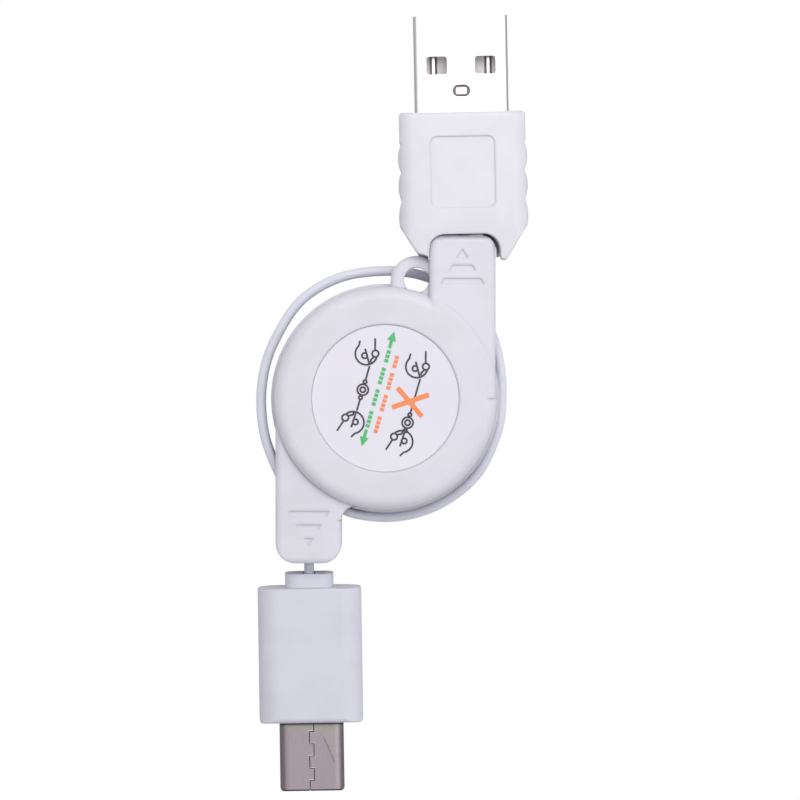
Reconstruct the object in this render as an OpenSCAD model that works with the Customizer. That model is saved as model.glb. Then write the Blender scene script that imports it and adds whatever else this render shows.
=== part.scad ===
// Retractable reel cable: a two-layer reel case with a parked large plug and a parked small plug.
// The origin is on the reel's axis at the back of the case. +Z leaves the label and +Y points to the
// large plug.
// All sizes are in millimetres.

/* [Reel case] */
// Outer radius of the front cover
case_r = 14.25; // [13.9:0.05:15]
// How far the rear cover's rim lies inside the front cover's
rear_inset = 0.35; // [0.15:0.05:0.5]
// Floor of the rear cover
floor_t = 1.3; // [1:0.1:1.8]
// Roof of the front cover
roof_t = 1.5; // [1.4:0.1:2]
// Wall of the front cover's skirt
skirt_wall = 1.2; // [1:0.1:1.4]
// Wall of the rear cover's rim
rim_wall = 1.1; // [0.8:0.1:1.2]
// Rounding of the front cover's rim
rim_round = 1.55; // [1:0.05:2]
// How far the lip at the skirt's lower edge stands out
lip_out = 0.4; // [0.1:0.05:0.5]
// Height of that lip
lip_h = 0.45; // [0.3:0.05:0.8]
// Radius of the recess for the label
label_recess_r = 9.4; // [8:0.1:10.5]
// Depth of that recess
label_recess_h = 0.35; // [0.25:0.05:0.45]

/* [Arms] */
// Width of an arm
arm_w = 8.45; // [8.2:0.05:9]
// Reach of the upper arm from the reel's axis
arm_l = 20.8; // [20:0.1:22]
// How much further the lower arm reaches
arm_more = 0.3; // [0:0.05:0.5]
// Wall of an arm
arm_wall = 1.2; // [0.9:0.1:1.4]
// Plate that closes an arm
arm_plate = 1.3; // [1:0.1:1.5]
// How far the upper arm's face lies below the disc's face
upper_drop = 0.12; // [0.05:0.01:0.5]
// How far the lower arm's face lies below the disc's face
lower_drop = 1.8; // [1.5:0.1:3.8]
// Radius of the upper arm's end corners
arm_corner = 1.9; // [1.2:0.1:2.3]
// Radius of the lower arm's end corners
lower_corner = 2.6; // [1.5:0.1:3]
// Rounding of an arm's upper edges
arm_edge = 0.8; // [0.3:0.1:0.9]
// Fillet between the lower arm and the disc
arm_fillet = 1.8; // [1:0.1:2.2]
// Depth of the sunk arrows
arrow_depth = 0.15; // [0.1:0.05:0.2]

/* [Keyring lug] */
// Radius of the hole
lug_hole_r = 1.6; // [1.2:0.1:1.7]
// Radius of the lug's outline
lug_r = 3.25; // [2.9:0.05:3.4]
// Thickness of the lug
lug_t = 2.2; // [1.6:0.1:2.6]
// Rounding of the lug's edges
lug_edge = 0.7; // [0.2:0.1:0.9]

/* [Cord] */
// Width of the flat cord, which stands on its edge
cord_w = 3.0; // [2.8:0.1:3.2]
// Thickness of the flat cord
cord_t = 1.15; // [1:0.05:1.2]
// Turns in each layer of the reel
cord_turns = 5; // [4:1:5]

/* [Spool] */
// Wall of the hub round the spring
hub_wall = 0.7; // [0.6:0.05:0.8]
// Thickness of the flange between the layers
flange_t = 0.8; // [0.6:0.1:1]
// Radius of the arbor on the rear cover
arbor_r = 1.9; // [1.7:0.05:2]
// Running clearance of the spool on its arbor
arbor_fit = 0.08; // [0.05:0.01:0.1]
// Clearance between the spool and the covers
run_gap = 0.2; // [0.15:0.05:0.3]
// Diameter of the ratchet ball
ball_d = 1.8; // [1.6:0.1:1.8]
// Travel of the ratchet ball into a pocket
ball_travel = 0.6; // [0.5:0.05:0.6]
// Pockets round the ratchet track
pocket_count = 8; // [6:1:8]
// Thickness of the mainspring's strip
spring_t = 0.16; // [0.1:0.02:0.18]
// Turns of the mainspring
spring_turns = 6; // [4:1:6]

/* [Large plug] */
// Width of the steel shell
plug_a_shell_w = 12.0; // [11.9:0.05:12.1]
// Height of the steel shell
plug_a_shell_h = 4.5; // [4.4:0.05:4.6]
// Length of the shell in front of the overmould
plug_a_shell_l = 12.3; // [11.5:0.1:12.5]
// Sheet thickness of the shell
plug_a_sheet = 0.3; // [0.25:0.05:0.35]
// Width of the overmould
plug_a_w = 16.5; // [16:0.1:17]
// Thickness of the overmould
plug_a_t = 8.0; // [7.4:0.1:8]
// Length of the overmould from the arm's end
plug_a_l = 15.7; // [15:0.1:17]
// How far the two prongs reach back over the arm
prong_l = 3.2; // [1.5:0.1:3.3]
// Clearance of the fork at the arm's sides
fork_gap = 0.36; // [0.34:0.02:0.5]
// Clearance of the fork at the arm's end
fork_end_gap = 0.15; // [0.15:0.05:0.4]
// How far the sides swell between the grip notches
swell = 0.4; // [0.1:0.05:0.5]
// Lean of the parked large plug, in degrees
plug_a_lean = 1.1; // [0:0.1:1.2]

/* [Small plug] */
// Width of the steel shell
plug_c_shell_w = 8.25; // [8.2:0.05:8.35]
// Height of the steel shell
plug_c_shell_h = 2.4; // [2.35:0.05:2.5]
// Length of the shell in front of the overmould
plug_c_shell_l = 8.75; // [8:0.05:9]
// Sheet thickness of the shell
plug_c_sheet = 0.25; // [0.2:0.05:0.3]
// Width of the overmould
plug_c_w = 13.3; // [12.5:0.1:14]
// Thickness of the overmould
plug_c_t = 5.9; // [5.4:0.1:5.9]
// Length of the overmould
plug_c_l = 17.6; // [17:0.1:18.5]
// Width of the strain-relief collar
collar_w = 6.2; // [5.8:0.1:6.8]
// Thickness of the strain-relief collar
collar_t = 4.6; // [4.4:0.1:5]
// Lean of the parked small plug, in degrees
plug_c_lean = 0.9; // [0:0.1:1.2]
// Sideways step of the shell's dovetailed seam
seam_step = 0.56; // [0.3:0.02:0.8]
// Distance between two steps of the seam
seam_pitch = 1.57; // [1.2:0.01:1.8]

/* [Hidden] */
$fn = 64;
// Overlap of a cutter past the face that it opens
eps = 0.5;
// Flat that is left at the ends of a slot with round ends
sliver = 0.01;

// Colours
case_white = [0.88, 0.87, 0.91];
label_white = [0.92, 0.92, 0.95];
cord_white = [0.9, 0.9, 0.93];
steel = [0.78, 0.75, 0.74];
gold = [0.85, 0.68, 0.3];
inner_white = [0.95, 0.95, 0.94];
print_green = [0.37, 0.74, 0.47];
print_orange = [0.96, 0.5, 0.28];
print_dark = [0.2, 0.18, 0.24];

// Levels of the case, from the table up
rear_coil_z = floor_t + run_gap;
flange_z = rear_coil_z + cord_w;
front_coil_z = flange_z + flange_t;
spool_top = front_coil_z + cord_w;
roof_z = spool_top + run_gap;
case_h = roof_z + roof_t;
parting_z = flange_z + flange_t / 2;
rear_cord_z = rear_coil_z + cord_w / 2;
front_cord_z = front_coil_z + cord_w / 2;
arm_top = case_h - upper_drop;
lower_top = case_h - lower_drop;
arm_inset = 0.2;
arm_x = case_r - arm_inset - arm_w / 2;
arm_bottom = case_h - (parting_z + arm_plate);
label_z = case_h - label_recess_h;
label_gap = 0.03;
label_t = 0.2;
ink_t = 0.06;

// Reel and spool: the layers of cord fill the room inside the rear cover's rim
skirt_r = case_r - skirt_wall;
rear_r = case_r - rear_inset;
rim_r = rear_r - rim_wall;
flange_gap = 0.35;
flange_out = 0.1;
flange_r = rim_r - flange_gap;
coil_r = flange_r - flange_out;
hub_r = coil_r - cord_turns * cord_t;
cavity_r = hub_r - hub_wall;
cap_t = 0.4;
cavity_top = flange_z + 0.9;
track_z = cavity_top + 1.8;
track_wall = 0.55;
ball_r = ball_d / 2;
ball_gap = 0.15;
pocket_wall = 0.6;
pocket_r = ball_r + ball_gap;
pocket_x = hub_r - pocket_wall - pocket_r;
ball_x = pocket_x - ball_travel;
track_out_r = ball_x + pocket_r;
track_in_r = ball_x - pocket_r + 0.05;
ball_z = track_z + 0.05 + ball_r;
ball_slot_top = ball_z + ball_r + 0.1;
boss_r = track_in_r - track_wall - 0.3;
boss_z = track_z + 0.2;
screw_r = 0.8;
screw_head_r = 1.65;
screw_head_z = label_z - 0.75;
screw_head_h = 0.65;
screw_tip_z = floor_t + 1.3;
cross_l = 1.8;
cross_w = 0.3;

// Openings of the rear cover beside the lower arm, where the slack turn of cord comes out
window_from = -160;
window_to = -100;
arm_left_wall_end = -13;
arm_right_wall_end = -15.2;
slot_w = cord_t + 0.55;
slot_h = cord_w + 0.3;

// Sunk arrows on the arms. Each row holds its two edges: the distance from the arm's end and the half width,
// twice.
upper_rows = [[1.75, 0, 2.95, 0.75], [3.8, 1.3, 4.6, 1.7], [5.5, 2.35, 6.2, 2.75]];
lower_rows = [[2.33, 0, 3.23, 0.58], [4.26, 1.2, 4.95, 1.6], [5.93, 2.25, 6.68, 2.64]];

// Print on the label
line_w = 0.22;
print_lean = 16;
pull_way = [sin(print_lean), cos(print_lean)];
pull_line = [[-2.72, -5.05], [0.82, 7.45]];
pull_shaft = 1.1;
pull_w = 0.4;
head_l = 1.1;
head_w = 1.15;
block = [0.42, 0.5];
block_pitch = 0.575;
block_groups = [4, 4, 4, 3];
block_rows = [[-2.33, -3.7], [-1.28, -4.4]];
cross_bar_w = 0.6;
cross_bars = [[[1.55, 1.35], [4.65, -2.3]], [[0.85, -1.15], [5.55, 0.45]]];
eye_gap = 1.05;
eye_r = 0.22;
reel_rings = [0.7, 0.33];
left_reel = [-2.88, 1.09];
left_reach = [3.15, 2.75];
right_reel = [2.83, -3.11];
right_reach = [5.8, 0.9];

// Keyring lug
lug_pos = [3.9, 14.95];
lug_hole_pos = [3.98, 15.1];
lug_z = parting_z + 1.1;
lug_clearance = 0.22;

// Large plug: v runs outwards from the arm's end
plug_a_shift = 0.22;
plug_a_x = arm_x + plug_a_shift;
fork_w = arm_w + 2 * fork_gap;
fork_corner = arm_corner + 0.2;
plug_a_pocket_v = 5;
plug_a_corner = 0.5;
plug_a_round = 2;
plug_a_shell_tail = 6.4;
seat_gap = 0.01;
plug_a_shell_round = 0.6;
plug_a_inside = [plug_a_shell_w, plug_a_shell_h] - 2 * plug_a_sheet * [1, 1];
lead_a_end_v = 3;
crease_v = 0.9;
crease_round = 14;
crease_steps = 4;
shoulder_v = 1.2;
shoulder_in = 0.15;
prong_tip_r = 0.5;
tip_steps = 6;
prong_end_t = 7;
grip_v = [0.2, 4.5, 8.2, 11.7];
panel = [8.2, 9.1];
panel_corner = 0.9;
panel_v = 8.05;
panel_depth = 0.15;
window = [2.6, 2.3];
window_corner = 0.35;
window_u = 3.1;
window_v = 21.7;
oval = [2.2, 1.5];
oval_v = 18.45;
boss = [1.45, 0.95];
boss_corner = 0.2;
tongue_base_v = 19.75;
tongue_gap = 0.05;
tongue_side_gap = 0.35;
tongue_back = 0.6;
tongue_corner = 0.3;
contact_u = [-3.5, -1, 1, 3.5];
contact_w = 0.4;
contact_t = 0.2;
contact_z = -0.5;
contact_back = [1.4, 2.4];
groove_w = 0.95;
wire_r = 0.27;
wire_pitch = 0.7;

// Small plug: v runs outwards from the arm's end
collar_v = 1.1;
plug_c_v = 2.9;
collar_tail = 2.2;
collar_tail_in = [1.2, 1];
collar_tail_round = 1;
collar_corner = 0.25;
collar_round = 1.6;
tail_angle = 4;
plug_c_corner = 0.5;
plug_c_round = 2.6;
plug_c_end_round = 0.6;
plug_c_shell_corner = 0.5;
lead_c_end_v = 4.4;
plug_c_end_v = plug_c_v + plug_c_l;
plug_c_tip_v = plug_c_end_v + plug_c_shell_l;
plug_c_shell_tail = 3.5;
insulator_v = plug_c_end_v - 3;
insulator_back = 0.5;
mouth = [6.8, 0.9];
mouth_v = plug_c_end_v + 1.4;
pin_count = 12;
pin_pitch = 0.5;
pin_w = 0.26;
pin_t = 0.2;
pin_sunk = 0.05;
pin_back = 1;
pin_v = mouth_v + 0.4;
board = [7, 8.6, 0.6];
board_room = 2.4;
board_wire_lap = 1.2;
board_v = insulator_v - board[1];
resistor = [1, 0.5, 0.35];
resistor_u = 1.6;
resistor_v = board_v + 4;
plate_t = 0.16;
latch_w = 0.3;
latch_lap = 0.1;
latch_back = 1.5;
seam_w = 0.1;
seam_steps = 5;
seam_start_v = plug_c_tip_v - 1.38;

// The cord's routes, as points of its centreline
lead_a_route = [[12.3, 4.6], [11.9, 7], [11.3, 10], [10.6, 13.5], [10.1, 17], [10.05, 19.5], [10.05, 20.9]];
lead_c_route = [[-9.83, -21.1], [-9.85, -19.5], [-10.1, -18], [-10.5, -16.4], [-11.2, -14.5]];
loop_route = [[-11.2, -14.5, 3], [-12.4, -12.2, 3], [-13.5, -10, 3], [-14.6, -7.5, 3], [-15.5, -4.8, 2.7],
    [-16, -1.6, 2.2], [-15.95, 1.6, 1.8], [-15.2, 5.1, 1.6], [-13.7, 8.5, 1.55], [-11.5, 11.9, 1.55],
    [-8.7, 14.2, 1.55], [-5.3, 15.7, 1.55], [-1.7, 16.3, 1.55], [2, 16.3, 1.55], [5.6, 15.5, 1.55],
    [9, 13.5, 1.55], [11.9, 10.9, 1.55], [14, 7.9, 1.55], [14.95, 4, 1.55], [15, 0.4, 1.55],
    [14.7, -3.4, 1.55], [13.6, -6.8, 1.55], [12.1, -9.5, 1.55], [9.7, -11.9, 1.55], [6.8, -13.8, 1.6],
    [3.6, -15, 1.9], [0.4, -15.4, 2.4], [-2.5, -15.2, 2.85], [-4.9, -14.6, 3], [-7.3, -13, 3],
    [-9.3, -11, 3], [-10.7, -8.8, 3], [-11.45, -6.9, 3]];

// A rounded rectangle from one corner to the other
module rounded_rect(from, to, r) {
    size = to - from;
    translate(from + [r, 0])
        square([size[0] - 2 * r, size[1]]);
    translate(from + [0, r])
        square([size[0], size[1] - 2 * r]);
    for (x = [from[0] + r, to[0] - r], y = [from[1] + r, to[1] - r])
        translate([x, y])
            circle(r = r);
}

// A rounded rectangle centred on the axis
module centred_rect(size, r) {
    rounded_rect(-size / 2, size / 2, r);
}

// A level slab with a drawn outline
module slab(z0, z1) {
    translate([0, 0, z0])
        linear_extrude(z1 - z0)
            children();
}

// A bar along v with a drawn section in u and w
module bar_v(v0, v1) {
    translate([0, v1, 0])
        rotate([90, 0, 0])
            linear_extrude(v1 - v0)
                children();
}

// A bar along u with a drawn side view in v and w
module bar_u(half) {
    translate([-half, 0, 0])
        rotate([90, 0, 90])
            linear_extrude(2 * half)
                children();
}

// Outline of an arm from above: straight sides and two round end corners
module arm_outline(corner) {
    translate([-arm_w / 2, 0])
        square([arm_w, arm_l - corner]);
    rounded_rect([-arm_w / 2, arm_l / 2], [arm_w / 2, arm_l], corner);
}

// An arm between two levels, with its upper edges rounded
module arm_block(z0, z1, corner) {
    intersection() {
        slab(z0, z1)
            arm_outline(corner);
        bar_v(-eps, arm_l + eps) {
            rounded_rect([-arm_w / 2, z0 - 2], [arm_w / 2, z1], arm_edge);
        }
        bar_u(arm_w) {
            rounded_rect([-2, z0 - 2], [arm_l, z1], arm_edge);
        }
    }
}

// The concave fillet in the corner between the disc and the lower arm
module corner_fillet(r) {
    side = -(arm_x - arm_w / 2);
    cx = side + arm_fillet;
    cy = -sqrt(pow(r + arm_fillet, 2) - cx * cx);
    touch = [cx, cy] * r / (r + arm_fillet);
    difference() {
        polygon([[side - 1, cy], [cx, cy], touch, touch + [-0.5, 1], [side - 1, touch[1] + 1]]);
        translate([cx, cy])
            circle(r = arm_fillet);
    }
}

module at_upper_arm() {
    translate([arm_x, 0, 0])
        children();
}

module at_lower_arm() {
    translate([-arm_x, -arm_more, 0])
        rotate([0, 0, 180])
            children();
}

// Rows of an arrow, cut down from a level
module arrow(rows, top) {
    slab(top - arrow_depth, top + eps)
        for (row = rows)
            polygon([[-row[1], arm_l - row[0]], [-row[3], arm_l - row[2]], [row[3], arm_l - row[2]],
                [row[1], arm_l - row[0]]]);
}

// Disc with a round edge, and the leg that ties its outer side to the case. The hole is cut later.
module lug_body() {
    width = lug_r - lug_hole_r;
    translate([lug_pos[0], lug_pos[1], 0])
        rotate_extrude()
            difference() {
                rounded_rect([-lug_r, lug_z], [lug_r, lug_z + lug_t], lug_edge);
                translate([-2 * lug_r, 0])
                    square([2 * lug_r, case_h]);
            }
    translate([lug_pos[0] - lug_r + width / 2, 0, lug_z + lug_t / 2])
        bar_v(skirt_r - 0.5, lug_pos[1])
            centred_rect([width, lug_t], lug_edge);
}

module front_cover() {
    color(case_white) {
        difference() {
            union() {
                rotate_extrude() {
                    translate([0, parting_z])
                        square([case_r - rim_round, case_h - parting_z]);
                    translate([0, parting_z])
                        square([case_r, case_h - rim_round - parting_z]);
                    translate([case_r - rim_round, case_h - rim_round])
                        circle(r = rim_round);
                    translate([0, parting_z])
                        square([case_r + lip_out, lip_h]);
                }
                at_upper_arm()
                    arm_block(parting_z, arm_top, arm_corner);
                // the disc's face runs out level to its edge inside the upper arm
                intersection() {
                    at_upper_arm()
                        arm_block(parting_z, case_h, arm_corner);
                    cylinder(r = case_r, h = case_h);
                }
                at_lower_arm()
                    arm_block(parting_z, lower_top, lower_corner);
                slab(parting_z, lower_top)
                    corner_fillet(case_r);
                lug_body();
            }
            // room for the front layer, round the boss that rests on the arbor
            difference() {
                translate([0, 0, parting_z - eps])
                    cylinder(r = skirt_r, h = roof_z - parting_z + eps);
                translate([0, 0, boss_z])
                    cylinder(r = boss_r, h = case_h - boss_z);
            }
            // channel of the upper arm and its mouth
            slab(parting_z - eps, roof_z) {
                translate([arm_x - arm_w / 2 + arm_wall + 0.2, 0])
                    square([arm_w - 2 * arm_wall - 0.1, arm_l - arm_wall]);
                translate([plug_a_x - slot_w / 2, arm_l - arm_wall - 0.1])
                    square([slot_w, arm_wall + 1]);
            }
            // hollow of the lower arm's lid
            at_lower_arm()
                slab(parting_z - eps, lower_top - arm_plate)
                    translate([-arm_w / 2 + arm_wall, 0])
                        square([arm_w - 2 * arm_wall, arm_l - arm_wall]);
            // seat of the label, screw hole and the slot of the ratchet ball
            slab(label_z, case_h + eps)
                circle(r = label_recess_r);
            slab(screw_head_z, case_h)
                circle(r = screw_head_r);
            slab(boss_z - eps, case_h)
                circle(r = screw_r);
            slab(roof_z - eps, ball_slot_top) {
                translate([ball_x, 0])
                    circle(r = pocket_r);
                translate([ball_x, -pocket_r])
                    square([ball_travel, 2 * pocket_r]);
                translate([pocket_x, 0])
                    circle(r = pocket_r);
            }
            translate([lug_hole_pos[0], lug_hole_pos[1], parting_z - eps])
                cylinder(r = lug_hole_r, h = lug_z + lug_t - parting_z + 2 * eps);
            at_upper_arm()
                arrow(upper_rows, arm_top);
            at_lower_arm()
                arrow(lower_rows, lower_top);
        }
    }
}

module rear_cover() {
    edge = 0.6;
    color(case_white) {
        difference() {
            union() {
                // floor with a rounded lower edge
                rotate_extrude() {
                    square([rear_r - edge, floor_t]);
                    translate([0, edge])
                        square([rear_r, floor_t - edge]);
                    translate([rear_r - edge, edge])
                        circle(r = edge);
                }
                // rim, open beside the lower arm
                difference() {
                    cylinder(r = rear_r, h = parting_z);
                    translate([0, 0, floor_t])
                        cylinder(r = rim_r, h = parting_z);
                    slab(floor_t, parting_z + eps)
                        polygon([[0, 0],
                            for (a = [window_from:20:window_to]) 1.2 * case_r * [cos(a), sin(a)]]);
                }
                // lower arm: floor and three walls
                at_lower_arm() {
                    slab(0, floor_t)
                        arm_outline(lower_corner);
                    slab(floor_t, parting_z)
                        arm_outline(lower_corner);
                }
                slab(0, floor_t)
                    corner_fillet(rear_r);
                // plate that closes the upper arm
                at_upper_arm()
                    slab(arm_bottom, parting_z)
                        arm_outline(arm_corner);
            }
            // room for the rear layer
            translate([0, 0, floor_t])
                cylinder(r = rim_r, h = parting_z);
            // channel of the lower arm, its mouth, and the ways out for the slack turn
            slab(floor_t, parting_z + eps) {
                translate([-arm_x - arm_w / 2 + arm_wall, -arm_l - arm_more + arm_wall])
                    square([arm_w - 2 * arm_wall, arm_l - arm_wall]);
                translate([-arm_x - slot_w / 2, -arm_l - arm_more - 1])
                    square([slot_w, arm_wall + 1.1]);
                translate([-arm_x - arm_w / 2 - 1, arm_left_wall_end])
                    square([arm_wall + 1.1, -arm_left_wall_end - rear_r * sin(-window_from) + 0.1]);
                translate([-arm_x + arm_w / 2 - arm_wall - 0.1, arm_right_wall_end])
                    square([arm_wall + 1.1, -arm_right_wall_end - rim_r * 0.6]);
            }
        }
        arbor();
    }
}

module arbor() {
    difference() {
        translate([0, 0, floor_t])
            cylinder(r = arbor_r, h = boss_z - floor_t);
        translate([0, 0, screw_tip_z])
            cylinder(r = screw_r, h = boss_z);
        // slit that holds the inner end of the mainspring
        translate([screw_r - 0.2, -spring_t / 2 - 0.05, rear_coil_z + cap_t])
            cube([arbor_r, spring_t + 0.1, cavity_top - rear_coil_z - cap_t - 0.1]);
    }
}

module centre_screw() {
    color(steel) {
        difference() {
            union() {
                translate([0, 0, screw_head_z])
                    cylinder(r = screw_head_r - 0.05, h = screw_head_h);
                translate([0, 0, screw_tip_z])
                    cylinder(r = screw_r, h = screw_head_z - screw_tip_z + 0.1);
            }
            // cross recess
            for (a = [0, 90])
                rotate([0, 0, a])
                    translate([-cross_l / 2, -cross_w / 2, screw_head_z + 0.3])
                        cube([cross_l, cross_w, 1]);
        }
    }
}

module front_label() {
    color(label_white)
        translate([0, 0, label_z])
            cylinder(r = label_recess_r - label_gap, h = label_t);
}

// A straight printed line between two points
module stroke(a, b, w) {
    d = b - a;
    translate(a)
        rotate([0, 0, atan2(d[1], d[0])])
            translate([0, -w / 2])
                square([norm(d), w]);
}

// A printed arrow head with its tip at a point
module arrow_head(tip, angle, l, w) {
    translate(tip)
        rotate([0, 0, angle])
            polygon([[0, 0], [-l, w / 2], [-l, -w / 2]]);
}

module ink() {
    slab(label_z + label_t, label_z + label_t + ink_t)
        children();
}

// A ring of a given line width
module ring(at, r, w) {
    translate(at)
        difference() {
            circle(r = r + w / 2);
            circle(r = r - w / 2);
        }
}

// An arc of a given line width between two angles less than a half turn apart
module arc(at, r, from, to) {
    reach = 4 * r;
    middle = (from + to) / 2;
    intersection() {
        ring(at, r, line_w);
        translate(at)
            polygon([[0, 0], reach * [cos(from), sin(from)], reach * [cos(middle), sin(middle)],
                reach * [cos(to), sin(to)]]);
    }
}

// Plain blocks in a row that leans as the arrows do, in groups
module blocks(start) {
    for (group = [0:len(block_groups) - 1], i = [0:block_groups[group] - 1])
        translate(start + (i + 5 * group) * block_pitch * pull_way)
            rotate([0, 0, 90 - print_lean])
                translate([0, -block[1] / 2])
                    square(block);
}

// Green: the way to pull, an arrow at each end of its row
module label_print_green() {
    color(print_green)
        ink() {
            for (end = [0, 1]) {
                way = (2 * end - 1) * pull_way;
                stroke(pull_line[end] - way * pull_shaft, pull_line[end], pull_w);
                arrow_head(pull_line[end] + way * head_l, 90 - print_lean + 180 * (1 - end), head_l + 0.1,
                    head_w);
            }
            blocks(block_rows[0]);
        }
}

module orange_cross() {
    for (bar = cross_bars)
        stroke(bar[0], bar[1], cross_bar_w);
}

// Orange: the way not to pull, a row and a cross
module label_print_orange() {
    color(print_orange)
        ink() {
            blocks(block_rows[1]);
            orange_cross();
        }
}

// A plain hand that pinches the cord at its origin and reaches away along +Y
module hand() {
    palm = [-0.2, 1.6];
    thumb = [-0.45, 1.4];
    nail = [0.95, 1.45];
    arc(palm, 1.4, 125, 230);
    arc(palm, 1.4, 229, 340);
    stroke([-1, 2.75], [-0.75, 3.35], line_w);
    stroke([0.98, 1.9], [1.2, 3.4], line_w);
    ring(nail, 0.42, line_w);
    ring(thumb, 0.34, line_w);
    stroke([-0.25, 2.25], [0, 0.2], line_w);
    stroke([0.3, 0.25], [0.2, 0.7], line_w);
    stroke([0.2, 0.7], [0.75, 1.1], line_w);
}

// One pictogram: a reel on a leaning cord, with a hand at each end of the cord's two reaches
module pictogram(reel, reach) {
    for (r = reel_rings)
        ring(reel, r, line_w);
    for (side = [-1, 1])
        ring(reel + side * eye_gap * pull_way, eye_r, line_w);
    stroke(reel + (eye_gap + eye_r) * pull_way, reel + reach[0] * pull_way, line_w);
    translate(reel + reach[0] * pull_way)
        rotate([0, 0, 8])
            hand();
    if (reach[1] > eye_gap + eye_r)
        stroke(reel - (eye_gap + eye_r) * pull_way, reel - reach[1] * pull_way, line_w);
    translate(reel - reach[1] * pull_way)
        rotate([0, 0, 155])
            hand();
}

module label_print_dark() {
    color(print_dark)
        ink()
            difference() {
                union() {
                    pictogram(left_reel, left_reach);
                    pictogram(right_reel, right_reach);
                }
                orange_cross();
            }
}

// Spiral strip that relaxes outwards: r0 at the arbor, r1 at the hub's wall
function spring_r(t, r0, r1) = r1 - (r1 - r0) * pow(1 - t, 1.4);

module mainspring() {
    r0 = arbor_r + 0.25;
    r1 = cavity_r - 0.2;
    steps = 24 * spring_turns;
    half = spring_t / 2;
    outer = [for (i = [0:steps]) (spring_r(i / steps, r0, r1) + half) * [cos(15 * i), sin(15 * i)]];
    inner = [for (i = [steps:-1:0]) (spring_r(i / steps, r0, r1) - half) * [cos(15 * i), sin(15 * i)]];
    color(steel)
        slab(rear_coil_z + cap_t + 0.1, cavity_top - 0.2) {
            polygon(concat(outer, inner));
            // tab in the arbor's slit
            translate([screw_r + 0.1, -half])
                square([r0 - screw_r - 0.1, spring_t]);
        }
}

module spool() {
    color(inner_white)
        difference() {
            union() {
                translate([0, 0, rear_coil_z])
                    cylinder(r = hub_r, h = spool_top - rear_coil_z);
                translate([0, 0, flange_z])
                    cylinder(r = flange_r, h = flange_t);
            }
            // spring cavity and bearing
            translate([0, 0, rear_coil_z - eps])
                cylinder(r = cavity_r, h = cavity_top - rear_coil_z + eps);
            translate([0, 0, rear_coil_z])
                cylinder(r = arbor_r + arbor_fit, h = spool_top);
            // clearance of the cover's boss
            translate([0, 0, track_z])
                cylinder(r = track_in_r - track_wall, h = spool_top);
            // ratchet track with its pockets
            difference() {
                translate([0, 0, track_z])
                    cylinder(r = track_out_r, h = spool_top);
                translate([0, 0, track_z - eps])
                    cylinder(r = track_in_r, h = spool_top);
            }
            for (i = [0:pocket_count - 1])
                rotate([0, 0, i * 360 / pocket_count])
                    translate([pocket_x, 0, track_z])
                        cylinder(r = pocket_r, h = spool_top, $fn = 32);
        }
}

module spring_cap() {
    color(steel)
        difference() {
            translate([0, 0, rear_coil_z])
                cylinder(r = cavity_r, h = cap_t);
            translate([0, 0, rear_coil_z - eps])
                cylinder(r = arbor_r + 0.3, h = cap_t + 2 * eps);
        }
}

module ratchet_ball() {
    color(steel)
        translate([ball_x, 0, ball_z])
            sphere(r = ball_r);
}

// The wound cord of one layer, as its outer shape
module coil(z) {
    color(cord_white)
        rotate_extrude()
            translate([hub_r, z])
                square([coil_r - hub_r, cord_w]);
}

module cord_coil_front() {
    coil(front_coil_z);
}

module cord_coil_rear() {
    coil(rear_coil_z);
}

// A smooth curve through the route's points, with one ring between each two
function curve_at(p, i, t) =
    let (a = p[max(i - 1, 0)], b = p[i], c = p[i + 1], d = p[min(i + 2, len(p) - 1)])
    0.5 * (2 * b + (c - a) * t + (2 * a - 5 * b + 4 * c - d) * t * t + (3 * b - a - 3 * c + d) * t * t * t);
function smooth(p, n) =
    concat([for (i = [0:len(p) - 2], k = [0:n - 1]) curve_at(p, i, k / n)], [p[len(p) - 1]]);

// Section of the flat cord: thickness across, width up, with its corners taken off
function cord_section(t, w) =
    let (a = t / 2, b = w / 2, c = t / 4)
    [[a, c - b], [a, b - c], [a - c, b], [c - a, b], [-a, b - c], [-a, c - b], [c - a, -b], [a - c, -b]];

// The flat cord swept along a route, always standing on its edge. before and after are points past its ends.
module flat_cord(line, before, after) {
    n = len(line);
    section = cord_section(cord_t, cord_w);
    sides = len(section);
    all = concat([before], line, [after]);
    rings = [for (i = [0:n - 1])
        let (d = all[i + 2] - all[i], l = norm([d[0], d[1]]), across = [d[1], -d[0], 0] / l)
        for (s = section) line[i] + across * s[0] + [0, 0, s[1]]];
    faces = concat(
        [[for (k = [0:sides - 1]) k]],
        [[for (k = [sides - 1:-1:0]) (n - 1) * sides + k]],
        [for (i = [0:n - 2], k = [0:sides - 1])
            let (k2 = (k + 1) % sides)
            [i * sides + k2, i * sides + k, (i + 1) * sides + k, (i + 1) * sides + k2]]);
    polyhedron(points = rings, faces = faces, convexity = 8);
}

module cord_loop() {
    line = smooth(loop_route, 2);
    n = len(line);
    before = at_level(lead_c_route, rear_cord_z)[len(lead_c_route) - 2];
    color(cord_white)
        flat_cord(line, before, 2 * line[n - 1] - line[n - 2]);
}

function at_level(p, z) = [for (q = p) [q[0], q[1], z]];
// A point on the axis of a leaning plug, v outwards from the arm's end
function on_plug(x, y, v, lean) = [x, y] + v * [-sin(lean), cos(lean)];

module cord_lead_a() {
    route = concat(lead_a_route, [on_plug(plug_a_x, arm_l, lead_a_end_v, plug_a_lean)]);
    past = [2 * route[0] - route[1], on_plug(plug_a_x, arm_l, lead_a_end_v + 2, plug_a_lean)];
    line = at_level(route, front_cord_z);
    color(cord_white)
        flat_cord(line, at_level(past, front_cord_z)[0], at_level(past, front_cord_z)[1]);
}

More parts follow.
